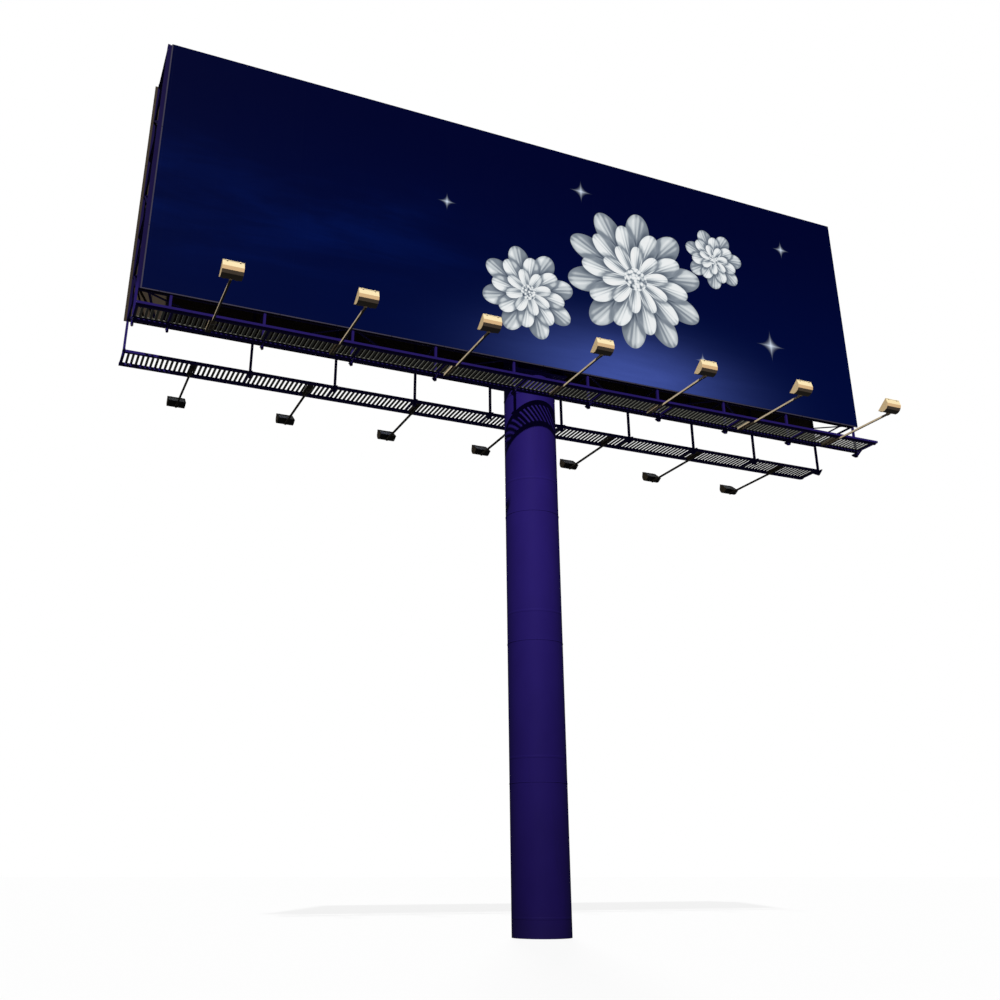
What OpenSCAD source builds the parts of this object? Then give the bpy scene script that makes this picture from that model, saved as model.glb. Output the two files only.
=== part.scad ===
// Two-sided billboard on one round steel column. Two parallel boards stand back to back
// on a steel frame, with an open-bar walkway and a row of floodlights below each of them.
// Millimetres. The origin is the centre of the column's foot, at ground level.
// X runs along the boards, +Y from the front board to the back board, +Z up.

/* [Boards] */
// Width of each board
board_w = 18000; // [16200:100:19800]
// Height of each board
board_h = 6100; // [5500:20:6800]
// Height of the boards' lower edge above the ground
board_bottom = 11840; // [11000:20:13000]
// Distance between the outer faces of the two boards
board_spacing = 1544; // [1540:2:1800]
// Thickness of the board sheeting
board_t = 25; // [18:1:40]
// Thickness of the printed sheet
poster_t = 4; // [3:1:6]
// Bare strip of board left beside and below the printed sheet
poster_margin = 26; // [10:1:80]
// Sideways shift of the front board
front_shift = 95; // [0:5:150]
// Sideways shift of the back board
back_shift = -45; // [-150:5:0]

/* [Column] */
// Outer diameter of the column
column_d = 1170; // [1000:10:1180]
// Distance from the boards' upper edge down to the column's top
column_drop = 1040; // [700:20:1600]
// Thickness of the column's cap plate
cap_t = 20; // [12:1:30]
// Overhang of the cap plate round the column
cap_lip = 20; // [5:1:40]

/* [Frame] */
// Side of the square posts
post_s = 50; // [40:5:80]
// Distance from post to post
post_pitch = 1891; // [1700:1:2000]
// Distance from the column's axis to the first post on its left
post_left = 734; // [730:1:900]
// Distance from the column's axis to the first post on its right
post_right = 1157; // [800:1:1300]
// Sideways shift of the back posts beside the front ones, end posts apart
back_post_shift = 65; // [-90:5:90]
// Distance that the posts reach below the walkway beams
post_foot = 120; // [60:5:160]
// Distance from board edge to the centre of the end posts
end_inset = 35; // [30:5:100]
// Side of the square rails that tie the posts
rail_s = 60; // [50:5:65]
// Number of gaps between rails, one above the other
rail_gaps = 6; // [4:2:8]
// Side of the ties of the cross frames
tie_s = 40; // [36:2:50]
// Side of the diagonals of the cross frames
diagonal_s = 32; // [26:1:34]
// Width of the flat bars of the level bracing
brace_w = 50; // [40:5:60]
// Thickness of the flat bars of the level bracing
brace_t = 16; // [10:1:20]

/* [Column head] */
// Height of the beams that hold the frame to the column
saddle_h = 220; // [160:10:260]
// Flange width of those beams
saddle_w = 90; // [70:5:120]
// Plate thickness of those beams and of the collars
saddle_t = 14; // [10:1:20]

/* [Walkways] */
// Width of the walkway, over its two long beams
walk_w = 723; // [650:1:850]
// Distance from the boards' lower edge down to the walkway's underside
walk_drop = 710; // [600:10:900]
// Width of the long beams
beam_w = 65; // [50:5:80]
// Height of the long beams
beam_h = 50; // [45:5:80]
// Wall of the long beams
beam_t = 6; // [4:1:8]
// Width of the stringer beside the outer long beam
stringer_w = 65; // [50:5:80]
// Width of the foot rails between the posts
foot_rail_w = 40; // [30:2:50]
// Distance that stringers and foot rails reach below the long beams
stringer_drop = 15; // [10:1:25]
// Width of the cross joists
joist_w = 40; // [30:5:60]
// Width of one slat
slat_w = 50; // [40:1:60]
// Thickness of one slat
slat_t = 20; // [12:1:30]
// Distance from the walkway's long edges to the slats' ends
slat_inset = 45; // [30:1:48]
// Distance from slat to slat
slat_pitch = 100; // [90:1:125]
// Thickness of the flat bars that join the slats below
bearer_h = 12; // [8:1:20]
// Width of those flat bars
bearer_w = 30; // [20:1:40]

/* [Floodlights] */
// Distance from floodlight to floodlight
lamp_pitch = 2560; // [2400:10:2650]
// Sideways shift of the row of floodlights
lamp_shift = 150; // [100:10:300]
// Reach of the floodlights from the board's face
lamp_reach = 2330; // [1900:10:2700]
// Side of the square arms
arm_s = 40; // [36:2:50]
// Width of the cross bar that an arm is bolted to
arm_bar_w = 110; // [90:5:140]
// Length of one floodlight housing
lamp_l = 405; // [340:5:450]
// Radius of the half-round housing
lamp_r = 180; // [150:5:200]
// Sheet thickness of the housing
lamp_t = 6; // [4:1:8]
// Tilt of the glass towards the board
lamp_tilt = 38; // [28:1:45]
// Height of the housing's axis above the walkway's underside
lamp_lift = 135; // [125:1:150]
// Width of the door frame round the glass
door_w = 24; // [18:1:30]
// Depth of the door frame
door_t = 22; // [16:1:28]
// Thickness of the glass
glass_t = 5; // [4:1:8]
// Length of the cradle between arm and housing
cradle_l = 100; // [80:5:130]
// Depth of the cradle below the arm
cradle_drop = 10; // [4:1:20]
// Angle of the housing's round that the cradle holds beside its lowest line
cradle_wrap = 37; // [32:1:40]

/* [Hidden] */

steel = "#2b1f6b";
steel_dark = "#211853";
sheet_brown = "#3a3024";
print_navy = "#04062c";
slat_grey = "#2d2d26";
lamp_cream = "#e8cf9c";
lamp_dark = "#23211d";
glass_pale = "#cfd8dc";
facets = 64;
seat = 0.3;

// Depths are measured from the middle plane between the boards towards one side.
face_y = board_spacing / 2;
post_out = face_y - board_t;
post_in = post_out - post_s;
rail_in = post_in - rail_s;
walk_in = post_out;
walk_out = post_out + walk_w;
beam_z = board_bottom - walk_drop;
walk_top = beam_z + beam_h;
post_bottom = beam_z - post_foot;
board_top = board_bottom + board_h;
column_r = column_d / 2;
column_top = board_top - column_drop;
end_x = board_w / 2 - end_inset;

// Posts stand at an even pitch on both sides of the column, up to the end posts;
// the back row has none in its short bay on the left
end_bay_min = 600;
back_bay_min = 1000;
function post_run(first) = [for (x = [first : post_pitch : end_x - end_bay_min]) x];
left_run = post_run(post_left);
right_run = post_run(post_right);
function post_row(shift, bay_min) = concat([-end_x],
    [for (i = [len(left_run) - 1 : -1 : 0]) if (left_run[i] < end_x - bay_min) shift - left_run[i]],
    [for (x = right_run) if (x < end_x - bay_min) shift + x],
    [end_x]);
front_row = post_row(0, end_bay_min);
back_row = post_row(back_post_shift, back_bay_min);

rail_step = (board_h - rail_s) / rail_gaps;
rail_z = [for (k = [0 : rail_gaps]) board_bottom + rail_s / 2 + k * rail_step];
walk_l = 2 * end_x + post_s;
stringer_y = walk_out - beam_w - stringer_w;
stringer_z = beam_z - stringer_drop;
joist_top = walk_top - bearer_h;
arm_z = stringer_z - arm_s;
lamp_z = beam_z + lamp_lift;
lamp_y = face_y + lamp_reach;
arm_to = lamp_y - lamp_r * sin(cradle_wrap);

// As many floodlights as fit, at an even pitch; one that would meet a joist stands beside it
lamps_a_side = floor((walk_l / 2 - arm_bar_w / 2 - lamp_shift) / lamp_pitch);
joist_clear = (joist_w + arm_bar_w) / 2 + 10;
function beside(x, joist) = abs(x - joist) >= joist_clear ? x : joist + (x < joist ? -1 : 1) * joist_clear;
function clear_of(x, joists, i = 0) = i == len(joists) ? x : clear_of(beside(x, joists[i]), joists, i + 1);
function lamp_row(joists) = [for (i = [-lamps_a_side : lamps_a_side])
    clear_of(lamp_shift + i * lamp_pitch, joists)];
front_lamps = lamp_row(front_row);
back_lamps = lamp_row(back_row);

// A box given by its lowest corner and its size
module block(corner, size) {
    translate(corner)
        cube(size);
}

// The front side has its depths towards -Y, the back side towards +Y
module front_side() {
    mirror([0, 1, 0])
        children();
}

// ---- column ----
module column() {
    color(steel)
        cylinder(h = column_top, r = column_r, $fn = facets);
}

module column_cap() {
    color(steel)
        translate([0, 0, column_top])
            cylinder(h = cap_t, r = column_r + cap_lip, $fn = facets);
}

// The frame is held to the column at every second rail below the column's top
saddle_levels = [for (k = [0 : 2 : rail_gaps]) if (rail_z[k] + saddle_h < column_top) k];
saddle_x = column_r + seat;

module column_collars() {
    color(steel_dark)
        for (k = saddle_levels)
            for (z = [rail_z[k] - saddle_h / 2 - saddle_t, rail_z[k] + saddle_h / 2])
                difference() {
                    block([-saddle_x - saddle_w, -rail_in, z],
                        [2 * (saddle_x + saddle_w), 2 * rail_in, saddle_t]);
                    translate([0, 0, z - 1])
                        cylinder(h = saddle_t + 2, r = column_r + seat, $fn = facets);
                }
}

// One channel on edge, its web beside the column
module saddle_channel() {
    block([0, -rail_in, 0], [saddle_t, 2 * rail_in, saddle_h]);
    for (z = [0, saddle_h - saddle_t])
        block([0, -rail_in, z], [saddle_w, 2 * rail_in, saddle_t]);
}

module saddle_beams() {
    color(steel_dark)
        for (k = saddle_levels)
            for (side = [0, 1])
                mirror([side, 0, 0])
                    translate([saddle_x, 0, rail_z[k] - saddle_h / 2])
                        saddle_channel();
}

// ---- board frames ----
module posts(row) {
    color(steel)
        for (x = row)
            block([x - post_s / 2, post_in, post_bottom], [post_s, post_s, board_top - post_bottom]);
}

module rails() {
    color(steel_dark)
        for (z = rail_z)
            block([-walk_l / 2, rail_in, z - rail_s / 2], [walk_l, rail_s, rail_s]);
}

module board(shift) {
    color(sheet_brown)
        block([shift - board_w / 2, post_out, board_bottom], [board_w, board_t, board_h]);
}

// The printed sheet leaves a bare strip at the board's low edge and at its edge towards -side
module poster(shift, side) {
    w = board_w - poster_margin;
    color(print_navy)
        block([shift - w / 2 + side * poster_margin / 2, face_y, board_bottom + poster_margin],
            [w, poster_t, board_h - poster_margin]);
}

// ---- bracing between the two frames ----
// A square bar in the plane across the boards, from one inner face to the other
module cross_bar(z1, z2, side) {
    rise = z2 - z1;
    span = 2 * rail_in;
    length = sqrt(rise * rise + span * span) + 2 * side;
    intersection() {
        translate([0, 0, (z1 + z2) / 2])
            rotate([atan(rise / span), 0, 0])
                cube([side, length, side], center = true);
        cube([2 * side, span, 4 * board_top], center = true);
    }
}

// A tie at each of the given rails, with a zigzag between them
module cross_frame(levels) {
    last = len(levels) - 1;
    tie_z = [for (k = levels) rail_z[k] - (rail_s - tie_s) / 2];
    for (i = [0 : last])
        cross_bar(tie_z[i], tie_z[i], tie_s);
    for (i = [0 : last - 1])
        if (i % 2 == 0)
            cross_bar(tie_z[i], tie_z[i + 1], diagonal_s);
        else
            cross_bar(tie_z[i + 1], tie_z[i], diagonal_s);
}

module end_lacing(x) {
    color(steel)
        translate([x, 0, 0])
            cross_frame([for (k = [0 : rail_gaps]) k]);
}

// One cross frame at each post of a run, on the side of the column given by the sign
module cross_frames(run, sign) {
    color(steel_dark)
        for (x = run)
            translate([sign * x, 0, 0])
                cross_frame([for (k = [0 : 2 : rail_gaps]) k]);
}

// A flat bar from the front frame at x1 to the back frame at x2
module level_bar(x1, x2, z) {
    span = 2 * rail_in;
    run = x2 - x1;
    length = sqrt(run * run + span * span) + 4 * brace_w;
    intersection() {
        translate([(x1 + x2) / 2, 0, z + brace_t / 2])
            rotate([0, 0, -atan(run / span)])
                cube([brace_w, length, brace_t], center = true);
        translate([(x1 + x2) / 2, 0, z])
            cube([abs(run) + length, span, 4 * brace_t], center = true);
    }
}

// A zigzag from the column to the end of the frame, on the side given by the sign
brace_gap = 110;
module level_zigzag(run, sign, z) {
    nodes = concat([for (x = run) if (x < end_x - post_pitch / 2) x], [end_x]);
    for (i = [0 : len(nodes) - 2])
        if (i % 2 == 0)
            level_bar(sign * (nodes[i] + brace_gap), sign * (nodes[i + 1] - brace_gap), z);
        else
            level_bar(sign * (nodes[i + 1] - brace_gap), sign * (nodes[i] + brace_gap), z);
}

module level_bracing(level) {
    z = rail_z[level] - rail_s / 2 + tie_s;
    color(steel_dark) {
        level_zigzag(left_run, -1, z);
        level_zigzag(right_run, 1, z);
    }
}

// The lowest level has a short bar beside each end, laid across the zigzag below it;
// the one on the left runs aslant
end_bar_inset = 230;
end_bar_slant = 310;
module bottom_level_bracing() {
    z = rail_z[0] - rail_s / 2 + tie_s + brace_t + seat;
    left = -end_x + end_bar_inset;
    right = end_x - end_bar_inset;
    level_bracing(0);
    color(steel_dark) {
        level_bar(left, left + end_bar_slant, z);
        level_bar(right, right, z);
    }
}

// ---- walkways ----
// A long box beam of the walkway, open at its ends
module long_beam(y) {
    difference() {
        block([-walk_l / 2, y, beam_z], [walk_l, beam_w, beam_h]);
        block([-walk_l / 2 - 1, y + beam_t, beam_z + beam_t],
            [walk_l + 2, beam_w - 2 * beam_t, beam_h - 2 * beam_t]);
    }
}

module walkway_beams() {
    color(steel) {
        long_beam(walk_in);
        long_beam(walk_out - beam_w);
    }
}

// A stringer along the outer beam, and a foot rail in every bay of the posts
module stringers(row) {
    height = joist_top - stringer_z;
    color(steel) {
        block([-walk_l / 2, stringer_y, stringer_z], [walk_l, stringer_w, height]);
        for (i = [0 : len(row) - 2])
            block([row[i] + post_s / 2, post_out - foot_rail_w, stringer_z],
                [row[i + 1] - row[i] - post_s, foot_rail_w, height]);
    }
}

module walkway_joists(row) {
    color(steel_dark)
        for (x = row)
            block([x - joist_w / 2, walk_in + beam_w, beam_z],
                [joist_w, stringer_y - walk_in - beam_w, joist_top - beam_z]);
}

gusset_l = 200;
gusset_t = 12;
module post_gussets(row) {
    color(steel)
        for (x = row)
            translate([x - gusset_t / 2, 0, 0])
                rotate([90, 0, 90])
                    linear_extrude(gusset_t)
                        polygon([[post_out, post_bottom],
                            [post_out + gusset_l, beam_z],
                            [post_out, beam_z]]);
}

// Slats lie across both long beams, joined by two flat bars below them
module grating(x_from, x_to) {
    count = floor((x_to - x_from - slat_w) / slat_pitch) + 1;
    start = (x_from + x_to - (count - 1) * slat_pitch - slat_w) / 2;
    color(slat_grey) {
        for (i = [0 : count - 1])
            block([start + i * slat_pitch, walk_in + slat_inset, walk_top],
                [slat_w, walk_w - 2 * slat_inset, slat_t]);
        for (y = [walk_in + beam_w + seat, walk_out - beam_w - bearer_w - seat])
            block([x_from, y, joist_top], [x_to - x_from, bearer_w, bearer_h]);
    }
}

// ---- floodlights ----
module lamp_bars(lamps) {
    color(lamp_dark)
        for (x = lamps)
            block([x - arm_bar_w / 2, walk_in + beam_w, stringer_z],
                [arm_bar_w, stringer_y - walk_in - beam_w, joist_top - stringer_z]);
}

// The round of a housing, with the clearance that its seat keeps from it
module round_seat(x) {
    translate([x, lamp_y, lamp_z])
        rotate([0, 90, 0])
            cylinder(h = lamp_l, r = lamp_r + seat, center = true, $fn = facets);
}

// An arm runs below the walkway and ends beside the housing's round
arm_end = 150;
arm_from = walk_in + beam_w + arm_end;
module lamp_arms(lamps) {
    color(lamp_dark)
        for (x = lamps)
            difference() {
                block([x - arm_s / 2, arm_from, arm_z], [arm_s, arm_to - arm_from, arm_s]);
                round_seat(x);
            }
}

// A cradle on the arm's end, cut to the round that rests in it
module lamp_cradles(lamps) {
    low = arm_z - cradle_drop;
    color(lamp_dark)
        for (x = lamps)
            difference() {
                block([x - arm_s / 2, arm_to, low],
                    [arm_s, cradle_l, lamp_z - lamp_r * cos(cradle_wrap) - low]);
                round_seat(x);
            }
}

module half_drum(r, l) {
    intersection() {
        rotate([0, 90, 0])
            cylinder(h = l, r = r, center = true, $fn = facets);
        translate([0, 0, -r])
            cube([l + 2, 2 * r + 2, 2 * r], center = true);
    }
}

// The housing in its own frame: the glass faces +Z and the drum hangs below it
module housing() {
    difference() {
        union() {
            half_drum(lamp_r, lamp_l);
            translate([0, 0, door_t / 2])
                cube([lamp_l + 2 * lamp_t, 2 * lamp_r + 2 * lamp_t, door_t], center = true);
        }
        half_drum(lamp_r - lamp_t, lamp_l - 2 * lamp_t);
        translate([0, 0, door_t / 2])
            cube([lamp_l - 2 * door_w, 2 * lamp_r - 2 * door_w, door_t + 2], center = true);
    }
}

module at_lamps(lamps) {
    for (x = lamps)
        translate([x, lamp_y, lamp_z])
            rotate([lamp_tilt, 0, 0])
                children();
}

module lamp_housings(lamps) {
    color(lamp_cream)
        at_lamps(lamps)
            housing();
}

module lamp_glasses(lamps) {
    fit = 2 * door_w + 2 * seat;
    color(glass_pale)
        at_lamps(lamps)
            translate([0, 0, door_t / 2])
                cube([lamp_l - fit, 2 * lamp_r - fit, glass_t], center = true);
}

column();
column_cap();
column_collars();
saddle_beams();
front_side() posts(front_row);  // front_posts
front_side() rails();  // front_rails
front_side() board(front_shift);  // front_board
front_side() poster(front_shift, 1);  // front_poster
posts(back_row);  // back_posts
rails();  // back_rails
board(back_shift);  // back_board
poster(back_shift, -1);  // back_poster
end_lacing(-end_x);  // left_end_lacing
end_lacing(end_x);  // right_end_lacing
cross_frames(left_run, -1);  // left_cross_frames
cross_frames(right_run, 1);  // right_cross_frames
bottom_level_bracing();
level_bracing(rail_gaps / 2);  // middle_level_bracing
level_bracing(rail_gaps);  // top_level_bracing
front_side() walkway_beams();  // front_walkway_beams
front_side() stringers(front_row);  // front_stringers
front_side() walkway_joists(front_row);  // front_walkway_joists
front_side() post_gussets(front_row);  // front_post_gussets
front_side() grating(-walk_l / 2, -seat);  // front_grating_left
front_side() grating(seat, walk_l / 2);  // front_grating_right
walkway_beams();  // back_walkway_beams
stringers(back_row);  // back_stringers
walkway_joists(back_row);  // back_walkway_joists
post_gussets(back_row);  // back_post_gussets
grating(-walk_l / 2, -seat);  // back_grating_left
grating(seat, walk_l / 2);  // back_grating_right
front_side() lamp_bars(front_lamps);  // front_lamp_bars
front_side() lamp_arms(front_lamps);  // front_lamp_arms
front_side() lamp_cradles(front_lamps);  // front_lamp_cradles
front_side() lamp_housings(front_lamps);  // front_lamp_housings
front_side() lamp_glasses(front_lamps);  // front_lamp_glasses
lamp_bars(back_lamps);  // back_lamp_bars
lamp_arms(back_lamps);  // back_lamp_arms
lamp_cradles(back_lamps);  // back_lamp_cradles
lamp_housings(back_lamps);  // back_lamp_housings
lamp_glasses(back_lamps);  // back_lamp_glasses
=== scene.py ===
"""Paint, small pieces, light and camera for the two-sided billboard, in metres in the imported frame."""

import bmesh
import bpy
import math
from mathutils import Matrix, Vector


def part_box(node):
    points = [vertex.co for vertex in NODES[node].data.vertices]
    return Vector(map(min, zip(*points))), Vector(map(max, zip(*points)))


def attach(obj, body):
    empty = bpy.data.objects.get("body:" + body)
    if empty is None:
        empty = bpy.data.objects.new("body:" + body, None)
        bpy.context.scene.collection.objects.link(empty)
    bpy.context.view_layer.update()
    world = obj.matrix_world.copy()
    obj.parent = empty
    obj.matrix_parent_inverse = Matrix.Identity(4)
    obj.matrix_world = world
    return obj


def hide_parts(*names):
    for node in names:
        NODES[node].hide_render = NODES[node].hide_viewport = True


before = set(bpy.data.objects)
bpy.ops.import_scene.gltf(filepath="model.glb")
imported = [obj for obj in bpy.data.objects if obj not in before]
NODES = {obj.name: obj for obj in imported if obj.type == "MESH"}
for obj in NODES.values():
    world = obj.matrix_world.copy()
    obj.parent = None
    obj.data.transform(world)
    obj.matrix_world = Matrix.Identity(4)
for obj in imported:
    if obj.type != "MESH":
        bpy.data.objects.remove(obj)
X, Y, Z = Vector((1, 0, 0)), Vector((0, 1, 0)), Vector((0, 0, 1))
# Which way each side's board looks along Y
SIDES = {"front": -1, "back": 1}


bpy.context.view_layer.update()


# ---------------------------------------------------------------- shader graphs
class Val:
    """One output of a node, with sums written as sums."""

    def __init__(self, graph, out):
        self.graph, self.out = graph, out

    def __add__(self, other):
        return self.graph.math("ADD", self, other)

    def __sub__(self, other):
        return self.graph.math("SUBTRACT", self, other)

    def __rsub__(self, other):
        return self.graph.math("SUBTRACT", other, self)

    def __mul__(self, other):
        return self.graph.math("MULTIPLY", self, other)

    def __truediv__(self, other):
        return self.graph.math("DIVIDE", self, other)

    def __neg__(self):
        return self.graph.math("MULTIPLY", self, -1.0)

    __radd__ = __add__
    __rmul__ = __mul__


class Graph:
    """A material's nodes, with the object's own coordinates and normals at hand."""

    def __init__(self, name, **shader):
        self.mat = bpy.data.materials.new(name)
        self.mat.use_nodes = True
        self.tree = self.mat.node_tree
        self.shader = self.tree.nodes["Principled BSDF"]
        for key, value in shader.items():
            self.shader.inputs[key.replace("_", " ")].default_value = value
        coords = self.tree.nodes.new("ShaderNodeTexCoord")
        self.vec = coords.outputs["Object"]
        self.x, self.y, self.z = self.parts(self.vec)
        geometry = self.tree.nodes.new("ShaderNodeNewGeometry")
        self.nx, self.ny, self.nz = self.parts(geometry.outputs["True Normal"])

    def node(self, kind, *values, **settings):
        """A new node, with its first inputs fed in order."""
        n = self.tree.nodes.new("ShaderNode" + kind)
        for key, value in settings.items():
            setattr(n, key, value)
        for socket, value in zip(n.inputs, values):
            self.feed(socket, value)
        return n

    def feed(self, socket, value):
        """Links or sets one input."""
        if isinstance(value, Val):
            self.tree.links.new(value.out, socket)
        elif isinstance(value, bpy.types.NodeSocket):
            self.tree.links.new(value, socket)
        elif value is not None:
            socket.default_value = value

    def parts(self, vector):
        """A vector's x, y and z."""
        n = self.node("SeparateXYZ", vector)
        return [Val(self, o) for o in n.outputs]

    def math(self, kind, *args):
        """A sum of one or two values, such as SINE or MAXIMUM."""
        return Val(self, self.node("Math", *args, operation=kind).outputs[0])

    def vector(self, x, y, z):
        return Val(self, self.node("CombineXYZ", x, y, z).outputs[0])

    def step(self, v, a, b, low=0.0, high=1.0):
        """Rises smoothly from low at a to high at b."""
        n = self.node("MapRange", v, a, b, low, high, interpolation_type="SMOOTHSTEP")
        return Val(self, n.outputs[0])

    def noise(self, sx, sy, sz, detail=4.0, rough=0.5, twist=0.0, at=None):
        """Soft noise with sx, sy and sz waves to the metre."""
        scaled = self.node("VectorMath", at or self.vec, (sx, sy, sz), operation="MULTIPLY")
        n = self.node("TexNoise")
        self.feed(n.inputs["Vector"], scaled.outputs[0])
        n.inputs["Scale"].default_value = 1.0
        n.inputs["Detail"].default_value = detail
        n.inputs["Roughness"].default_value = rough
        n.inputs["Distortion"].default_value = twist
        return Val(self, n.outputs[0])

    def cells(self, pitch):
        """Distance to the nearest of scattered points, with pitch points to the metre."""
        scaled = self.node("VectorMath", self.vec, (pitch, pitch, pitch), operation="MULTIPLY")
        n = self.node("TexVoronoi", feature="F1")
        self.feed(n.inputs["Vector"], scaled.outputs[0])
        n.inputs["Scale"].default_value = 1.0
        return Val(self, n.outputs["Distance"])

    def mix(self, share, a, b):
        """Colour a, or b where share is 1."""
        n = self.node("Mix", data_type="RGBA")
        self.feed(n.inputs[0], share)
        for socket, colour in ((n.inputs[6], a), (n.inputs[7], b)):
            self.feed(socket, colour if isinstance(colour, Val) else (*colour, 1.0))
        return Val(self, n.outputs[2])

    def tint(self, colour, amount):
        """The colour times a number."""
        n = self.node("VectorMath", operation="SCALE")
        self.feed(n.inputs[0], colour if isinstance(colour, Val) else tuple(colour))
        self.feed(n.inputs["Scale"], amount)
        return Val(self, n.outputs[0])

    def ramp(self, v, stops):
        """The colour that the (place, colour) stops give at v."""
        n = self.node("ValToRGB", v)
        scale = n.color_ramp
        scale.interpolation = "EASE"
        while len(scale.elements) < len(stops):
            scale.elements.new(0.5)
        for element, (at, colour) in zip(scale.elements, stops):
            element.position = at
            element.color = (*colour, 1.0)
        return Val(self, n.outputs[0])

    def line(self, v, pitch, width, offset=0.0):
        """1 on thin lines that repeat every pitch along v, 0 between them."""
        share = self.math("FRACT", (v - offset) / pitch)
        off_middle = self.math("ABSOLUTE", share - 0.5)
        return self.step(off_middle, 0.5 - width / pitch, 0.5 - 0.4 * width / pitch)

    def finish(self, colour, rough, height, depth, strength=1.0):
        """Feeds the shader and returns the material; depth is the bumps' height in metres."""
        self.feed(self.shader.inputs["Base Color"], colour)
        self.feed(self.shader.inputs["Roughness"], rough)
        bump = self.node("Bump")
        bump.inputs["Strength"].default_value = strength
        bump.inputs["Distance"].default_value = depth
        self.feed(bump.inputs["Height"], height)
        self.feed(self.shader.inputs["Normal"], bump.outputs[0])
        return self.mat


# ---------------------------------------------------------------- materials
INDIGO = (0.0195, 0.0105, 0.132)
INDIGO_BRIGHT = (0.0190, 0.0105, 0.116)
INDIGO_SHADED = (0.0080, 0.0044, 0.046)
GRIME = (0.010, 0.008, 0.010)
RUST = (0.060, 0.022, 0.010)
# painted shade for lamp faces turned to the board
PAINTED_SHADE_BROWN = (0.035, 0.030, 0.025)
NIGHT_HIGH = (0.0002, 0.0014, 0.0280)
NIGHT_LOW = (0.0003, 0.0032, 0.0430)
NIGHT_HAZE = (0.0005, 0.0065, 0.080)
ROYAL_GLOW = (0.055, 0.090, 0.370)
GLINT_BLUE = (0.75, 0.85, 1.0)


def steel_paint(name, base, wear=1.0, rings=None, spec=0.08, painted_shade_from=None):
    """Satin paint on steel: sprayed texture, run-down dirt, rusty chips.

    With rings, the distance between shallow rings on a column, it is also dirty at the foot and darker
    towards the ground, as painted shade.
    Given the height of a board's lower edge, it is darker above it, behind the board: painted shade.
    """
    g = Graph(name, Specular_IOR_Level=spec)
    g.shader.inputs["Specular Tint"].default_value = (0.45, 0.35, 1.0, 1.0)
    fine = g.noise(90, 90, 90, 3.0, 0.6)
    blotch = g.noise(1.1, 1.1, 0.7, 5.0, 0.55)
    runs = g.noise(5, 5, 0.4, 6.0, 0.6, 0.3)
    specks = g.noise(38, 38, 30, 6.0, 0.7)
    colour = g.tint(base, 0.78 + 0.44 * blotch)
    colour = g.mix(g.step(runs, 0.56, 0.80) * (0.35 * wear), colour, GRIME)
    chips = g.step(specks, 0.73, 0.77) * g.step(blotch, 0.50, 0.64)
    colour = g.mix(chips * (0.5 * wear), colour, RUST)
    height = fine * 0.35 + specks * 0.2 + chips * -0.8
    if rings:
        ring_width, first_ring = 0.03, 0.35
        height = height + g.line(g.z, rings, ring_width, first_ring) * 3.0
        foot = g.step(g.z + 0.5 * blotch, 1.0, 0.15)
        colour = g.mix(foot * 0.2, colour, (0.020, 0.016, 0.020))
        # painted shade: the column grows steadily darker towards the ground
        colour = g.tint(colour, g.step(g.z, -2.0, 9.5, 0.42, 1.02))
    if painted_shade_from:
        # painted shade: the steel above the board's lower edge darkens where the boards shade it
        colour = g.tint(colour, g.step(g.z, painted_shade_from - 0.1, painted_shade_from + 0.3, 1.0, 0.42))
    rough = 0.40 + 0.16 * fine + 0.22 * blotch + 0.15 * chips
    return g.finish(colour, rough, height, 0.0012)


def board_sheets(name, out):
    """Brown sheeting with upright grain and panel joints, and a pale primed outer face."""
    g = Graph(name, Specular_IOR_Level=0.15)
    grain = g.noise(34, 34, 1.2, 7.0, 0.62, 0.5)
    pores = g.noise(210, 210, 14, 3.0, 0.6)
    blotch = g.noise(0.8, 0.8, 0.9, 5.0, 0.6)
    sheet_wide, sheet_tall, joint = 1.22, 2.44, 0.012
    joints = g.math("MAXIMUM", g.line(g.x, sheet_wide, joint), g.line(g.z, sheet_tall, joint, 1.1))
    wood = g.mix(grain, (0.030, 0.020, 0.012), (0.070, 0.050, 0.030))
    wood = g.tint(wood, 0.65 + 0.6 * blotch)
    primer = g.mix(blotch, (0.038, 0.034, 0.062), (0.060, 0.054, 0.095))
    dust = g.step(g.noise(9, 9, 0.6, 5.0, 0.6), 0.5, 0.8)
    primer = g.mix(dust * 0.4, primer, (0.055, 0.048, 0.040))
    colour = g.mix(g.step(g.ny * out, 0.4, 0.7), wood, primer)
    colour = g.mix(joints * 0.8, colour, (0.006, 0.005, 0.004))
    rough = 0.62 + 0.2 * grain
    return g.finish(colour, rough, grain * 0.4 + pores * 0.25 + joints * -1.5, 0.002)


def blossom(g, u, v, cx, cz, radius, petals, turn, seed):
    """Mask and brightness of a layered silver rosette."""
    dx, dz = u - cx, v - cz
    r = g.math("SQRT", dx * dx + dz * dz) / radius
    angle = g.math("ARCTAN2", dz, dx) + turn
    cover, light = None, None
    for size, half, shade in ((1.0, 0.5, 0.62), (0.78, 0.0, 0.86), (0.50, 0.5, 1.0)):
        swing = angle * (0.5 * petals) + half * math.pi
        petal = g.math("ABSOLUTE", g.math("COSINE", swing))
        edge = size * (0.42 + 0.58 * g.math("POWER", petal, 0.55))
        inside = g.step(edge - r, 0.0, 0.012)
        side = g.math("SINE", swing * 2.0)
        vein = g.math("SINE", side * 9.0 + r * 5.0 + seed)
        tip = g.step(r / edge, 0.25, 1.0)
        tone = shade * (0.34 + 0.36 * tip + 0.20 * side + 0.10 * vein)
        tone = tone * g.step(edge - r, 0.0, 0.10, 0.72, 1.0)
        if cover is None:
            cover, light = inside, tone
        else:
            shadow = g.step(edge - r, -0.16, 0.0, 1.0, 0.45)
            light = light * shadow * (1.0 - inside) + tone * inside
            cover = g.math("MAXIMUM", cover, inside)
    core = g.step(r, 0.17, 0.155)
    beads = g.cells(22 / radius)
    light = light * (1.0 - core) + core * (1.05 - beads * 1.1)
    return cover, light


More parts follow.
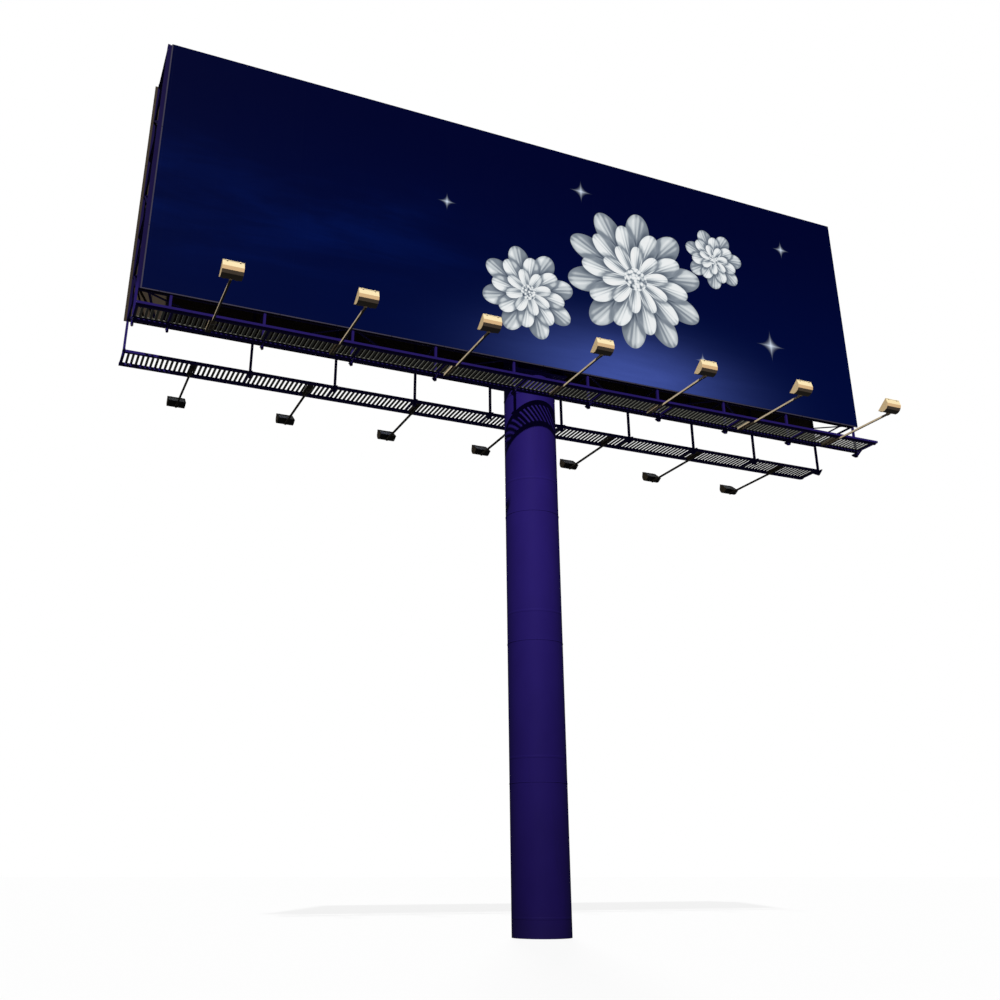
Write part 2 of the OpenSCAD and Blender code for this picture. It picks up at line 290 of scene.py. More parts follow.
def night_sky(g, u, v, flat, width, height):
    """Navy with cloud streaks on the left and a royal blue glow at the foot."""
    cloud = g.noise(0.22, 1.0, 1.15, 6.0, 0.55, 0.4, flat)
    wisps = g.noise(0.55, 1.0, 3.4, 5.0, 0.6, 0.6, flat)
    band = g.step(v, 0.1, 2.0) * g.step(v, 4.6, 2.4) * g.step(u, 9.0, 3.5)
    haze = g.step(cloud, 0.40, 0.72) * (0.45 + 0.75 * wisps) * band
    sky = g.mix(g.step(v, height, 0.5), NIGHT_HIGH, NIGHT_LOW)
    sky = g.mix(haze, sky, NIGHT_HAZE)
    glow_u, glow_v = (u - 0.62 * width) / 2.7, (v - 0.1) / 1.05
    glow = g.math("EXPONENT", -(glow_u * glow_u + glow_v * glow_v)) * (0.8 + 0.4 * wisps)
    return g.mix(glow, sky, ROYAL_GLOW)


def rosettes(g, u, v, width, height):
    """Mask and colour of three silver rosettes, the one at the back first."""
    silver, tone = None, None
    for across, upward, radius, petals, turn, seed in (
        (0.775, 0.66, 0.88, 7, 0.3, 0.0),
        (0.475, 0.30, 1.22, 8, 0.9, 2.0),
        (0.640, 0.47, 1.95, 10, 0.1, 4.0),
    ):
        cover, light = blossom(g, u, v, across * width, upward * height, radius, petals, turn, seed)
        if silver is None:
            silver, tone = cover, light
        else:
            tone = tone * (1.0 - cover) + light * cover
            silver = g.math("MAXIMUM", silver, cover)
    stops = (
        (0.0, (0.05, 0.07, 0.11)),
        (0.28, (0.24, 0.28, 0.33)),
        (0.45, (0.62, 0.67, 0.70)),
        (0.62, (0.92, 0.95, 0.96)),
        (1.0, (1.0, 1.0, 1.0)),
    )
    return silver, g.ramp(tone, stops)


def glints(g, u, v, width, height):
    """Mask of four-pointed glints."""
    spark = None
    for across, upward, size in (
        (0.86, 0.30, 0.55),
        (0.56, 0.83, 0.40),
        (0.36, 0.62, 0.30),
        (0.90, 0.80, 0.35),
        (0.74, 0.16, 0.30),
    ):
        dx = g.math("ABSOLUTE", u - across * width)
        dz = g.math("ABSOLUTE", v - upward * height)
        star = g.math("SQRT", dx) + g.math("SQRT", dz)
        one = g.step(star, math.sqrt(size), 0.12 * math.sqrt(size))
        spark = one if spark is None else g.math("MAXIMUM", spark, one)
    return spark


def printed_vinyl(name, side):
    """A dark navy printed sheet with silver rosettes and glints, slightly slack and dusty."""
    g = Graph(name, Specular_IOR_Level=0.012)
    low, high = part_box(side + "_poster")
    width, height = high.x - low.x, high.z - low.z
    # u runs to the right and v up, as someone in front of the sheet sees it
    u = (g.x - low.x) if side == "front" else (high.x - g.x)
    v = g.z - low.z
    flat = g.vector(u, 0.0, v)
    sky = night_sky(g, u, v, flat, width, height)
    silver, metal = rosettes(g, u, v, width, height)
    spark = glints(g, u, v, width, height)
    colour = g.mix(silver, sky, metal)
    colour = g.mix(spark * (1.0 - silver), colour, GLINT_BLUE)
    # dust runs from the top hem, and a dusty lower edge
    runs = g.noise(7.0, 1.0, 0.16, 6.0, 0.62, 0.2, flat)
    settled = g.noise(2.5, 1, 2.5, 5.0, 0.6, 0.0, flat)
    dust = g.step(runs, 0.55, 0.85) * 0.008 + g.step(v, 0.5, 0.0) * settled * 0.01
    colour = g.mix(dust, colour, (0.060, 0.062, 0.075))
    # sheet joins, hem and slack
    joins = g.line(u, width / 6, 0.02, 0.0)
    border = g.math("MINIMUM", g.math("MINIMUM", u, width - u), g.math("MINIMUM", v, height - v))
    hem = g.step(g.math("ABSOLUTE", border - 0.06), 0.006, 0.0)
    slack = g.noise(0.35, 1.0, 0.9, 3.0, 0.5, 0.3, flat)
    creases = g.noise(1.6, 1.0, 0.5, 4.0, 0.55, 0.8, flat)
    weave = g.math("SINE", u * 1900.0) * g.math("SINE", v * 1900.0)
    bumps = slack * 6.0 + creases * 0.8 + joins * 0.25 + hem * 0.3 + weave * 0.004
    rough = 0.42 + 0.14 * creases + 0.18 * dust
    return g.finish(colour, rough, bumps, 0.004, 0.6)


def slat_paint(name):
    """Dull olive paint, scuffed on top by feet, with painted shade: darker below, lighter on the sides and
    top.
    """
    g = Graph(name, Specular_IOR_Level=0.25)
    scuff = g.noise(18, 3.0, 12, 6.0, 0.65, 0.4)
    blotch = g.noise(1.7, 2.4, 1.7, 4.0, 0.55)
    pits = g.cells(120)
    colour = g.mix(blotch, (0.155, 0.158, 0.130), (0.225, 0.226, 0.192))
    # painted shade: undersides darker, sides and top lighter
    colour = g.tint(colour, g.step(g.nz, -0.8, -0.3, 0.75, 1.25))
    rubbed = g.step(g.nz, 0.5, 0.9) * g.step(scuff, 0.5, 0.72)
    colour = g.mix(rubbed * 0.6, colour, (0.24, 0.235, 0.22))
    colour = g.mix(g.step(scuff, 0.66, 0.74) * 0.5, colour, RUST)
    rough = 0.5 + 0.25 * blotch - 0.15 * rubbed
    return g.finish(colour, rough, pits * 0.5 + scuff * 0.4, 0.0012)


def lamp_enamel(name, out, shade):
    """Cream enamel with painted shade: tan lower down, dark brown underneath and on the board's side, and
    times shade, a factor of painted shade.
    """
    g = Graph(name, Specular_IOR_Level=0.3)
    fine = g.noise(160, 160, 160, 3.0, 0.6)
    blotch = g.noise(9, 9, 9, 5.0, 0.6)
    drips = g.noise(60, 30, 4, 5.0, 0.6, 0.4)
    facing = g.nz * 0.5 + 0.5 + (blotch - 0.5) * 0.04
    # painted shade: cream where the face points up, tan lower down, dark brown underneath
    colour = g.ramp(
        facing,
        (
            (0.04, (0.120, 0.100, 0.080)),
            (0.14, (0.150, 0.116, 0.088)),
            (0.21, (0.180, 0.132, 0.092)),
            (0.31, (1.000, 0.650, 0.330)),
            (0.52, (1.000, 0.740, 0.400)),
            (0.62, (0.980, 0.800, 0.470)),
        ),
    )
    colour = g.mix(g.step(drips, 0.60, 0.82) * 0.2, colour, (0.40, 0.26, 0.15))
    # painted shade: faces turned towards the board go dark brown
    colour = g.mix(g.step(g.ny * out, -0.1, -0.3), colour, PAINTED_SHADE_BROWN)
    chips = g.step(fine, 0.70, 0.74) * g.step(blotch, 0.5, 0.65)
    colour = g.mix(chips * 0.5, colour, RUST)
    # painted shade: shade darkens the whole colour, strongly on the back lamps
    colour = g.tint(colour, shade)
    rough = 0.40 + 0.25 * blotch + 0.2 * chips
    return g.finish(colour, rough, fine * 0.5 - chips * 0.7, 0.0006)


def arm_paint(name, shade):
    """Cream paint on top and sides, near black below as painted shade, and times shade, a factor of painted
    shade.
    """
    g = Graph(name, Specular_IOR_Level=0.2)
    fine = g.noise(130, 130, 130, 3.0, 0.6)
    blotch = g.noise(6, 6, 6, 5.0, 0.6)
    facing = g.nz + (blotch - 0.5) * 0.3
    # painted shade: faces that point down go near black
    colour = g.mix(g.step(facing, -0.5, -0.3), (0.060, 0.048, 0.034), (0.92, 0.74, 0.48))
    colour = g.mix(g.step(blotch, 0.52, 0.75) * 0.35, colour, (0.30, 0.21, 0.12))
    chips = g.step(fine, 0.66, 0.72)
    colour = g.mix(chips * 0.4, colour, RUST)
    # painted shade: shade darkens the whole colour, strongly on the back arms
    colour = g.tint(colour, shade)
    rough = 0.45 + 0.3 * blotch
    return g.finish(colour, rough, fine * 0.5 - chips * 0.5, 0.0006)


def bare_metal(name, base, rough, bright=1.0):
    """Zinc, aluminium or cap metal with brown stains; bright is how metallic it is."""
    g = Graph(name, Metallic=bright)
    fine = g.noise(240, 240, 60, 4.0, 0.6)
    blotch = g.noise(14, 14, 14, 5.0, 0.6)
    colour = g.tint(base, 0.7 + 0.5 * blotch)
    colour = g.mix(g.step(blotch, 0.60, 0.78) * 0.4, colour, (0.16, 0.07, 0.03))
    return g.finish(colour, rough * 0.8 + 0.4 * rough * fine + 0.1 * blotch, fine, 0.0004)


def lamp_glass(name):
    """Clear glass with dust on it."""
    g = Graph(name, Transmission_Weight=1.0, IOR=1.5, Alpha=1.0)
    dust = g.noise(22, 22, 22, 6.0, 0.65)
    colour = g.mix(g.step(dust, 0.5, 0.8), (0.86, 0.90, 0.92), (0.52, 0.50, 0.46))
    rough = 0.03 + 0.30 * g.step(dust, 0.45, 0.8)
    return g.finish(colour, rough, dust, 0.0003)


MATS = {
    "column": steel_paint("column_indigo", INDIGO, 0.45, rings=2.95, spec=0.06),
    "frame": steel_paint("frame_indigo", INDIGO_BRIGHT, 1.0, painted_shade_from=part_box("front_board")[0].z),
    # rails, cross frames and level bracing between the boards: the indigo darkened as painted shade
    "inner": steel_paint("inner_indigo_painted_shade", INDIGO_SHADED, 1.0),
    "saddle": steel_paint("saddle_indigo", INDIGO, 0.9),
    "front_board": board_sheets("front_sheeting", SIDES["front"]),
    "back_board": board_sheets("back_sheeting", SIDES["back"]),
    "front_poster": printed_vinyl("front_vinyl", "front"),
    "back_poster": printed_vinyl("back_vinyl", "back"),
    "slats": slat_paint("slat_olive"),
    "front_enamel": lamp_enamel("front_enamel", SIDES["front"], 1.0),
    # the back lamps' enamel: a copy darkened by painted shade
    "back_enamel": lamp_enamel("back_enamel", SIDES["back"], 0.22),
    "front_arm": arm_paint("front_arm_cream_painted_shade", 1.0),
    # the back arms: a copy darkened by painted shade
    "back_arm": arm_paint("back_arm_painted_shade", 0.15),
    "glass": lamp_glass("lamp_glass"),
    "zinc": bare_metal("zinc_fixings", (0.30, 0.30, 0.31), 0.5, 0.5),
    "mirror": bare_metal("reflector_aluminium", (0.60, 0.61, 0.62), 0.30),
    "bulb": bare_metal("bulb_ceramic", (0.80, 0.79, 0.74), 0.25, 0.1),
}


def finish_for(node):
    """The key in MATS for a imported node."""
    if node in MATS:
        return node
    if node == "column_cap":
        return "column"
    if node in ("column_collars", "saddle_beams"):
        return "saddle"
    if "grating" in node:
        return "slats"
    side = node.split("_")[0]
    if "housings" in node:
        return side + "_enamel"
    if "glasses" in node:
        return "glass"
    if "_lamp_" in node:
        return side + "_arm"
    # steel between the boards gets the indigo darkened as painted shade
    if node.endswith(("_rails", "_cross_frames", "middle_level_bracing", "top_level_bracing")):
        return "inner"
    return "frame"


for name, solid in NODES.items():
    material = MATS[finish_for(name)]
    if not solid.material_slots:
        solid.data.materials.append(material)
    for entry in solid.material_slots:
        entry.material = material


# ---------------------------------------------------------------- small pieces
def solids(node):
    """The box of each separate solid in a node, from left to right."""
    mesh = NODES[node].data
    up = list(range(len(mesh.vertices)))

    def root(i):
        while up[i] != i:
            up[i] = up[up[i]]
            i = up[i]
        return i

    seen = {}
    for i, vertex in enumerate(mesh.vertices):
        key = tuple(round(c, 4) for c in vertex.co)
        up[root(i)] = root(seen.setdefault(key, i))
    for face in mesh.polygons:
        first = root(face.vertices[0])
        for i in face.vertices[1:]:
            up[root(i)] = first
    found = {}
    for i, vertex in enumerate(mesh.vertices):
        found.setdefault(root(i), []).append(vertex.co)
    boxes = []
    for points in found.values():
        low = Vector([min(p[k] for p in points) for k in range(3)])
        high = Vector([max(p[k] for p in points) for k in range(3)])
        boxes.append((low, high))
    return sorted(boxes, key=lambda box: (round(box[0].x, 3), box[0].y, box[0].z))


def circle(count, turn=0.0):
    """Angles all the way round, from turn."""
    return [turn + 2 * math.pi * k / count for k in range(count)]


CORNERS = ((-1, -1), (1, -1), (1, 1), (-1, 1))
BOTH = (-1, 1)


class Shape:
    """Vertices and faces of one piece, made from rings of points."""

    def __init__(self):
        self.points, self.faces = [], []

    def loft(self, rings, around=False):
        """Skins closed rings, with a cap at each end, or joins the last ring to the first."""
        count, base = len(rings[0]), len(self.points)
        for ring in rings:
            self.points += [tuple(p) for p in ring]
        for row in range(len(rings) if around else len(rings) - 1):
            this = base + row * count
            after = base + ((row + 1) % len(rings)) * count
            for i in range(count):
                j = (i + 1) % count
                self.faces.append((this + i, this + j, after + j, after + i))
        if not around:
            last = base + (len(rings) - 1) * count
            self.faces.append(tuple(base + i for i in reversed(range(count))))
            self.faces.append(tuple(last + i for i in range(count)))

    def disc(self, centre, axis, profile, count=16, turn=0.0):
        """A turned piece: profile is a list of (distance along the axis, radius)."""
        axis = Vector(axis).normalized()
        side = axis.orthogonal().normalized()
        other = axis.cross(side)
        rings = []
        for along, r in profile:
            middle = Vector(centre) + axis * along
            spokes = [(r * math.cos(a), r * math.sin(a)) for a in circle(count, turn)]
            rings.append([middle + side * p + other * q for p, q in spokes])
        self.loft(rings)

    def bolt(self, at, axis, size, turn=0.3):
        """A washer with a radius of about size, a hexagon head with chamfered corners and the bolt's end."""
        washer = ((-0.1, 1.05), (0.14, 1.05), (0.16, 1.0))
        head = ((0.10, 0.86), (0.62, 0.86), (0.74, 0.70))
        end = ((0.60, 0.45), (0.95, 0.45), (1.02, 0.38))
        for profile, count, twist in ((washer, 20, 0.0), (head, 6, turn), (end, 12, 0.0)):
            self.disc(at, axis, [(along * size, r * size) for along, r in profile], count, twist)

    def pipe(self, path, r, count=8):
        """A round bar along a path."""
        points = [Vector(p) for p in path]
        rings = []
        side = None
        for i, p in enumerate(points):
            ahead = (points[min(i + 1, len(points) - 1)] - points[max(i - 1, 0)]).normalized()
            side = ahead.orthogonal() if side is None else side - ahead * side.dot(ahead)
            side.normalize()
            other = ahead.cross(side)
            rings.append([p + side * (r * math.cos(a)) + other * (r * math.sin(a)) for a in circle(count)])
        self.loft(rings)

    def hoop(self, centre, big, small, count=96, around=8):
        """A level ring with a section that is taller than it is deep."""
        rings = []
        for turn in circle(count):
            out = Vector((math.cos(turn), math.sin(turn), 0))
            section = [(big + small * math.cos(a), 1.6 * small * math.sin(a)) for a in circle(around)]
            rings.append([Vector(centre) + out * r + Z * z for r, z in section])
        self.loft(rings, around=True)

    def plate(self, centre, ex, ey, ez, edge=0.002):
        """A plate with half sizes ex, ey, ez as vectors and eased edges."""
        ease = edge / max(ez.length, 1e-6)
        rings = []
        for height, inset in ((-1, edge), (-1 + ease, 0), (1 - ease, 0), (1, edge)):
            middle = Vector(centre) + ez * height
            half_x = ex * (1 - inset / ex.length)
            half_y = ey * (1 - inset / ey.length)
            rings.append([middle + half_x * sx + half_y * sy for sx, sy in CORNERS])
        self.loft(rings)

    def make(self, name, material, slot, smooth=35.0):
        """Adds the piece to the scene; edges sharper than smooth degrees stay sharp."""
        mesh = bpy.data.meshes.new(name)
        mesh.from_pydata(self.points, [], self.faces)
        mesh.validate()
        skin = bmesh.new()
        skin.from_mesh(mesh)
        bmesh.ops.recalc_face_normals(skin, faces=skin.faces)
        skin.to_mesh(mesh)
        skin.free()
        mesh.shade_smooth()
        mesh.set_sharp_from_angle(angle=math.radians(smooth))
        mesh.materials.append(MATS[material])
        piece = bpy.data.objects.new(name, mesh)
        bpy.context.scene.collection.objects.link(piece)
        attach(piece, "root")
        return piece


# ---------------------------------------------------------------- column and frame
def column_beads(lengths=6):
    """Weld beads between the column's rolled lengths, and a thicker one under its cap."""
    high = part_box("column")[1]
    radius = high.x + 0.001
    beads = Shape()
    for i in range(1, lengths):
        beads.hoop((0, 0, high.z * i / lengths), radius, 0.006)
    beads.hoop((0, 0, high.z - 0.004), radius, 0.009)
    beads.make("column_weld_beads", "column", "column_paint", 60)


def saddle_fixings(web_depth=0.0763, size=0.016):
    """Bolts on the webs of the saddle channels, which lie web_depth behind the flanges' tips."""
    bolts = Shape()
    for low, high in solids("saddle_beams"):
        sign = 1 if low.x > 0 else -1
        x = (high.x if sign > 0 else low.x) - sign * web_depth
        for y in (0.36 * low.y, 0.36 * high.y):
            for share in (0.3, 0.7):
                bolts.bolt((x, y, low.z + share * (high.z - low.z)), (sign, 0, 0), size)
    bolts.make("saddle_bolts", "zinc", "column_paint")


def frame_fixings(side, out, apart=0.036, sunk=0.0095):
    """Two bolts through each gusset, and two sunk in the walkway's outer beam at each joist."""
    bolts = Shape()
    for low, high in solids(side + "_post_gussets"):
        near = high.y if out < 0 else low.y
        for sign, x in ((-1, low.x), (1, high.x)):
            for reach, drop in ((0.045, 0.018), (0.115, 0.014)):
                bolts.bolt((x, near + out * reach, high.z - drop), (sign, 0, 0), 0.009)
    low, high = max(solids(side + "_walkway_beams"), key=lambda box: out * box[0].y)
    face = low.y if out < 0 else high.y
    for joist_low, joist_high in solids(side + "_walkway_joists"):
        x = (joist_low.x + joist_high.x) / 2
        for dx in (-apart / 2, apart / 2):
            bolts.bolt((x + dx, face - out * sunk, (low.z + high.z) / 2), (0, out, 0), 0.008)
    bolts.make(side + "_frame_bolts", "zinc", "frame_paint")


def post_fins(side, out, reach=0.130):
    """A three-cornered fin with a flange on the inner side of each post's foot."""
    fins = Shape()
    for (low, high), (post_low, post_high) in zip(solids(side + "_post_gussets"), solids(side + "_posts")):
        near = post_high.y if out < 0 else post_low.y
        bottom, top = low.z + 0.002, high.z - 0.015
        outline = ((0.0, bottom), (0.025, bottom), (reach, top - 0.018), (reach, top), (0.0, top))
        fins.loft([[(x, near - out * depth, z) for depth, z in outline] for x in (low.x, high.x)])
        flange = ((low.x + high.x) / 2, near - out * reach / 2, top + 0.003)
        fins.plate(flange, X * 0.026, Y * (reach / 2), Z * 0.003, 0.001)
    fins.make(side + "_post_fins", "frame", "frame_paint")


def end_strip(lap=0.010):
    """Closes the gap between the front board's left end and its end post."""
    low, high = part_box("front_board")
    post = solids("front_posts")[0][1]
    strip = Shape()
    centre = ((post.x + low.x) / 2 + lap, high.y + 0.003, (low.z + high.z) / 2)
    half_wide = (low.x - post.x) / 2 + lap
    half_tall = (high.z - low.z) / 2 - 0.01
    strip.plate(centre, X * half_wide, Z * half_tall, Y * 0.0025, 0.001)
    # painted shade: the strip takes the indigo darkened as shade between the boards
    strip.make("front_end_strip", "inner", "frame_paint")


# ---------------------------------------------------------------- floodlights
# The housing is a trough folded from flat strips, round the lamp's long axis
FOLDS = [math.radians(a) for a in (0, 42, 66, 90, 114, 138, 180)]
FOLD_POINTS = [(math.cos(a), -math.sin(a)) for a in FOLDS]
LIP = 0.170  # radius of the trough
SHEET = 0.004  # its thickness
BEYOND = 0.016  # how far it reaches past each end of the glass
DOOR = 0.022  # depth of the glass door's frame
RIM = 0.0215  # width of that frame
LEDGE = 0.006  # how far the frame stands out from the trough
SEAT = 0.180  # radius of the cradle's seat


class Lamp:
    """One floodlight's axis and directions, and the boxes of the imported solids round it."""

    def __init__(self, out, up, glass, arm, cradle, bar):
        low, high = glass
        self.out, self.up = out, up
        self.away = up.cross(X) if up.cross(X).y * out > 0 else X.cross(up)
        self.axis = (low + high) / 2 - up * (DOOR / 2)
        self.wide = (high.x - low.x) / 2 + BEYOND
        self.arm, self.cradle, self.bar = arm, cradle, bar

    def at(self, x, away, up):
        """A point x along the lamp, away from the board and up through the glass."""
        return self.axis + X * x + self.away * away + self.up * up


def lamps(side, out):
    """The side's floodlights, from left to right."""
    panes = NODES[side + "_lamp_glasses"].data.polygons
    up = max((p for p in panes if p.normal.z > 0), key=lambda p: p.area).normal.copy()
    rows = [solids(side + "_lamp_" + part) for part in ("glasses", "arms", "cradles", "bars")]
    return [Lamp(out, up, *boxes) for boxes in zip(*rows)]


def lamp_trough(shells, lamp):
    """The folded trough and its two end plates."""
    rings = []
    for x in (-lamp.wide, lamp.wide):
        ring = [lamp.at(x, p * LIP, q * LIP) for p, q in FOLD_POINTS]
        inner = LIP - SHEET
        ring += [lamp.at(x, p * inner, q * inner) for p, q in reversed(FOLD_POINTS)]
        rings.append(ring)
    shells.loft(rings)
    for sign in BOTH:
        rings = []
        for along, r in ((0.0, LIP), (0.004, LIP), (0.006, LIP - 0.003)):
            rings.append([lamp.at(sign * (lamp.wide + along), p * r, q * r) for p, q in FOLD_POINTS])
        shells.loft(rings)


def lamp_door(shells, lamp, ease=0.003):
    """The mitred frame that holds the glass."""
    section = [(0.0, 0.0), (0.0, DOOR - ease), (ease, DOOR)]
    section += [(RIM - d, up) for d, up in reversed(section)]
    rings = []
    for sx, sp in CORNERS:
        rings.append([lamp.at(sx * (lamp.wide + LEDGE - d), sp * (LIP + LEDGE - d), up) for d, up in section])
    shells.loft(rings, around=True)


def cradle_shim(shells, lamp, first=3.5, span=33.0, steps=8):
    """Fills the space between the trough's flats and the cradle's round seat, which spans some degrees."""
    tilt = math.atan2(lamp.away.z, lamp.away.y * lamp.out)
    left, right = (end.x - lamp.axis.x for end in lamp.cradle)
    rings = []
    for k in range(steps + 1):
        low = math.radians(first + span * k / steps)
        towards = -Z * math.cos(low) - Y * (lamp.out * math.sin(low))
        turn = math.pi / 2 + tilt + low
        start, end = next(pair for pair in zip(FOLDS, FOLDS[1:]) if turn <= pair[1])
        flat = LIP * math.cos((end - start) / 2) / math.cos(turn - (start + end) / 2)
        section = ((left, flat), (right, flat), (right, SEAT), (left, SEAT))
        rings.append([lamp.axis + X * x + towards * r for x, r in section])
    shells.loft(rings)


def reflector(mirrors, lamp, half=0.150, deep=0.140, steps=24):
    """A bent sheet with a disc at each end."""
    rows = []
    for k in range(steps + 1):
        share = -1 + 2 * k / steps
        rows.append((half * share, -half + deep * share * share))
    rings = []
    for x in (0.006 - lamp.wide, lamp.wide - 0.006):
        ring = [lamp.at(x, p, q) for p, q in rows]
        ring += [lamp.at(x, p * 0.985, q + 0.003) for p, q in reversed(rows)]
        rings.append(ring)
    mirrors.loft(rings)
    for sign in BOTH:
        mirrors.disc(lamp.at(sign * (lamp.wide - 0.012), 0, -0.075), X, ((-0.002, 0.050), (0.002, 0.050)), 24)


def bulb(bulbs, lamp, depth=0.072):
    """A tube lamp between two holders."""
    glass = [(-0.115, 0.006), (-0.110, 0.012), (-0.085, 0.0135)]
    glass += [(-along, r) for along, r in reversed(glass)]
    holder = ((-0.018, 0.011), (-0.014, 0.019), (0.014, 0.019), (0.018, 0.013))
    bulbs.disc(lamp.at(0, 0, -depth), X, glass, 20)
    for sign in BOTH:
        bulbs.disc(lamp.at(sign * 0.131, 0, -depth), X, holder, 16)


def door_fittings(clasps, lamp, half_apart=0.12):
    """Two hinges on the board's side and two toggles on the far side."""
    edge = LIP + LEDGE
    for x in (-half_apart, half_apart):
        hinge = [lamp.at(x + dx, -(edge + 0.003), 0.004) for dx in (-0.026, 0.026)]
        clasps.pipe(hinge, 0.0055, 10)
        clasps.plate(lamp.at(x, edge + 0.002, 0.004), X * 0.016, lamp.up * 0.020, lamp.away * 0.002)
        clasps.plate(lamp.at(x, edge + 0.005, -0.006), X * 0.010, lamp.up * 0.014, lamp.away * 0.0025)


def arm_clamps(clamps, lamp, r=0.006, bend=0.012):
    """Two bent bars with nuts that hold the arm under its bar."""
    arm_low, arm_high = lamp.arm
    bar_low, bar_high = lamp.bar
    x = (arm_low.x + arm_high.x) / 2
    w = (arm_high.x - arm_low.x) / 2 + r + 0.0002
    z = arm_low.z - r - 0.0002
    near, far = (bar_low.y, bar_high.y) if lamp.out > 0 else (bar_high.y, bar_low.y)
    half_path = ((w, bar_high.z + 0.008), (w, z + bend), (w - 0.004, z + 0.003), (w - bend, z))
    for share in (0.45, 0.85):
        y = near + (far - near) * share
        path = [(x - dx, y, height) for dx, height in half_path]
        path += [(x + dx, y, height) for dx, height in reversed(half_path)]
        clamps.pipe(path, r, 10)
        for sign in BOTH:
            clamps.disc((x + sign * w, y, bar_high.z), Z, ((0.0, 0.012), (0.009, 0.012)), 6, 0.2)


def pivot_bolts(clamps, lamp):
    """A bolt through the cradle's deep end and one through the arm's end, seen from both sides."""
    low, high = lamp.cradle
    deep = low.y if lamp.out > 0 else high.y
    arm_middle = (lamp.arm[0].z + lamp.arm[1].z) / 2
    for sign, x in ((-1, low.x), (1, high.x)):
        clamps.bolt((x, deep + lamp.out * 0.016, low.z + 0.030), (sign, 0, 0), 0.008)
        clamps.bolt((x, deep - lamp.out * 0.030, arm_middle), (sign, 0, 0), 0.010)


def floodlights(side, out):
    """All pieces of one side's floodlights."""
    shells, mirrors, bulbs, clasps, clamps = (Shape() for _ in range(5))
    for lamp in lamps(side, out):
        lamp_trough(shells, lamp)
        lamp_door(shells, lamp)
        cradle_shim(shells, lamp)
        reflector(mirrors, lamp)
        bulb(bulbs, lamp)
        door_fittings(clasps, lamp)
        arm_clamps(clamps, lamp)
        pivot_bolts(clamps, lamp)
    housing = shells.make(side + "_lamp_shells", side + "_enamel", "lamp_housing", 20)
    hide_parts(side + "_lamp_housings")
    mirrors.make(side + "_lamp_reflectors", "mirror", "lamp_housing", 50)
    bulbs.make(side + "_lamp_bulbs", "bulb", "lamp_glass", 50)
    clasps.make(side + "_lamp_clasps", side + "_enamel", "lamp_housing")
    clamps.make(side + "_lamp_clamps", "zinc", "lamp_arm_paint")


column_beads()
saddle_fixings()
for side, out in SIDES.items():
    frame_fixings(side, out)
    post_fins(side, out)
end_strip()
for side, out in SIDES.items():
    floodlights(side, out)


# ---------------------------------------------------------------- stage
def add_floor(radius=420, drop=0.002, count=96):
    """A wide, pale, even floor that lends no light to the object."""
    paint = bpy.data.materials.new("studio_floor")
    paint.use_nodes = True
    shader = paint.node_tree.nodes["Principled BSDF"]
    shader.inputs["Base Color"].default_value = (0.16, 0.16, 0.16, 1)
    shader.inputs["Roughness"].default_value = 0.9
    shader.inputs["Specular IOR Level"].default_value = 0.0
    shader.inputs["Emission Color"].default_value = (1, 1, 1, 1)
    shader.inputs["Emission Strength"].default_value = 0.835
    paint.cycles.emission_sampling = "NONE"
    mesh = bpy.data.meshes.new("floor")
    ring = [(radius * math.cos(a), radius * math.sin(a), -drop) for a in circle(count)]
    mesh.from_pydata(ring, [], [tuple(range(count))])
    mesh.materials.append(paint)
    floor = bpy.data.objects.new("floor", mesh)
    bpy.context.scene.collection.objects.link(floor)
    floor.visible_diffuse = False
    floor.visible_glossy = False


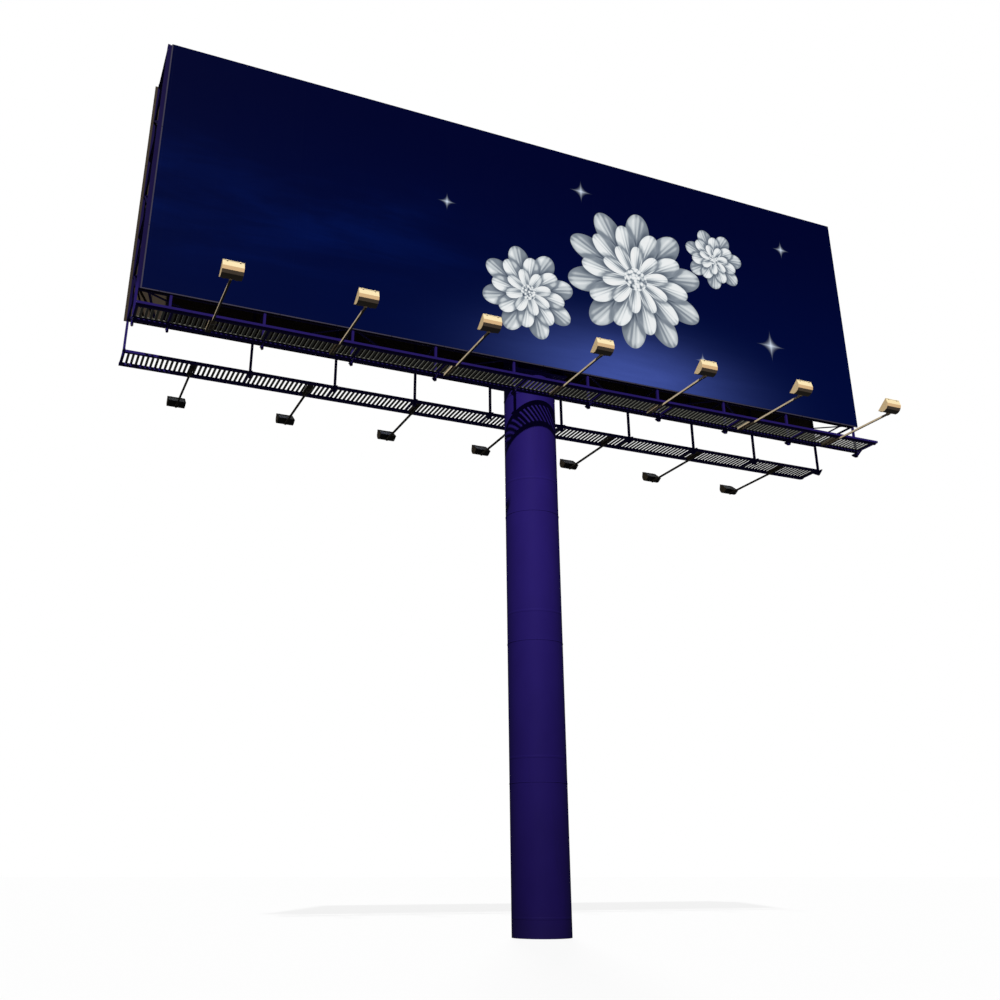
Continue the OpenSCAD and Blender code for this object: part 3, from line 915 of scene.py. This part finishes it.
def add_world():
    """White behind the object; for its light a dim, even studio, slightly dimmer from above."""
    world = bpy.data.worlds.new("studio")
    bpy.context.scene.world = world
    world.use_nodes = True
    tree = world.node_tree
    tree.nodes.clear()
    out = tree.nodes.new("ShaderNodeOutputWorld")
    seen = tree.nodes.new("ShaderNodeBackground")
    lit = tree.nodes.new("ShaderNodeBackground")
    pick = tree.nodes.new("ShaderNodeMixShader")
    path = tree.nodes.new("ShaderNodeLightPath")
    coords = tree.nodes.new("ShaderNodeTexCoord")
    split = tree.nodes.new("ShaderNodeSeparateXYZ")
    fade = tree.nodes.new("ShaderNodeMapRange")
    for name, value in (("From Min", -0.25), ("From Max", 0.35), ("To Min", 0.080), ("To Max", 0.070)):
        fade.inputs[name].default_value = value
    for background in (seen, lit):
        background.inputs["Color"].default_value = (1, 1, 1, 1)
    tree.links.new(coords.outputs["Generated"], split.inputs[0])
    tree.links.new(split.outputs["Z"], fade.inputs["Value"])
    tree.links.new(fade.outputs["Result"], lit.inputs["Strength"])
    tree.links.new(path.outputs["Is Camera Ray"], pick.inputs[0])
    tree.links.new(lit.outputs[0], pick.inputs[1])
    tree.links.new(seen.outputs[0], pick.inputs[2])
    tree.links.new(pick.outputs[0], out.inputs[0])


def add_sun(name, turn, height, strength, spread):
    """A sun that stands turn degrees from -Y towards -X, and height degrees up."""
    light = bpy.data.lights.new(name, "SUN")
    light.energy = strength
    light.angle = math.radians(spread)
    lamp = bpy.data.objects.new(name, light)
    bpy.context.scene.collection.objects.link(lamp)
    t, h = math.radians(turn), math.radians(height)
    towards = Vector((-math.sin(t) * math.cos(h), -math.cos(t) * math.cos(h), math.sin(h)))
    lamp.rotation_euler = towards.to_track_quat("Z", "Y").to_euler()


def add_camera():
    """The photo's viewpoint: low, in front of the left end, looking up and to the right."""
    lens = bpy.data.cameras.new("camera")
    lens.sensor_width = 36.0
    lens.lens = 38.364
    lens.shift_x = 0.0327
    lens.shift_y = -0.058
    lens.clip_end = 2000
    eye = bpy.data.objects.new("camera", lens)
    bpy.context.scene.collection.objects.link(eye)
    look_up, look_right = 22.047, 23.203
    eye.location = (-10.20, -20.15, 1.14)
    eye.rotation_euler = (math.radians(90 + look_up), 0.0, math.radians(-look_right))
    bpy.context.scene.camera = eye


add_floor()
add_world()
add_sun("key", 27.0, 35.5, 3.5, 1.3)
add_sun("back_fill", 205.0, 20.0, 2.2, 12.0)
add_camera()
bpy.context.scene.view_settings.view_transform = "Standard"
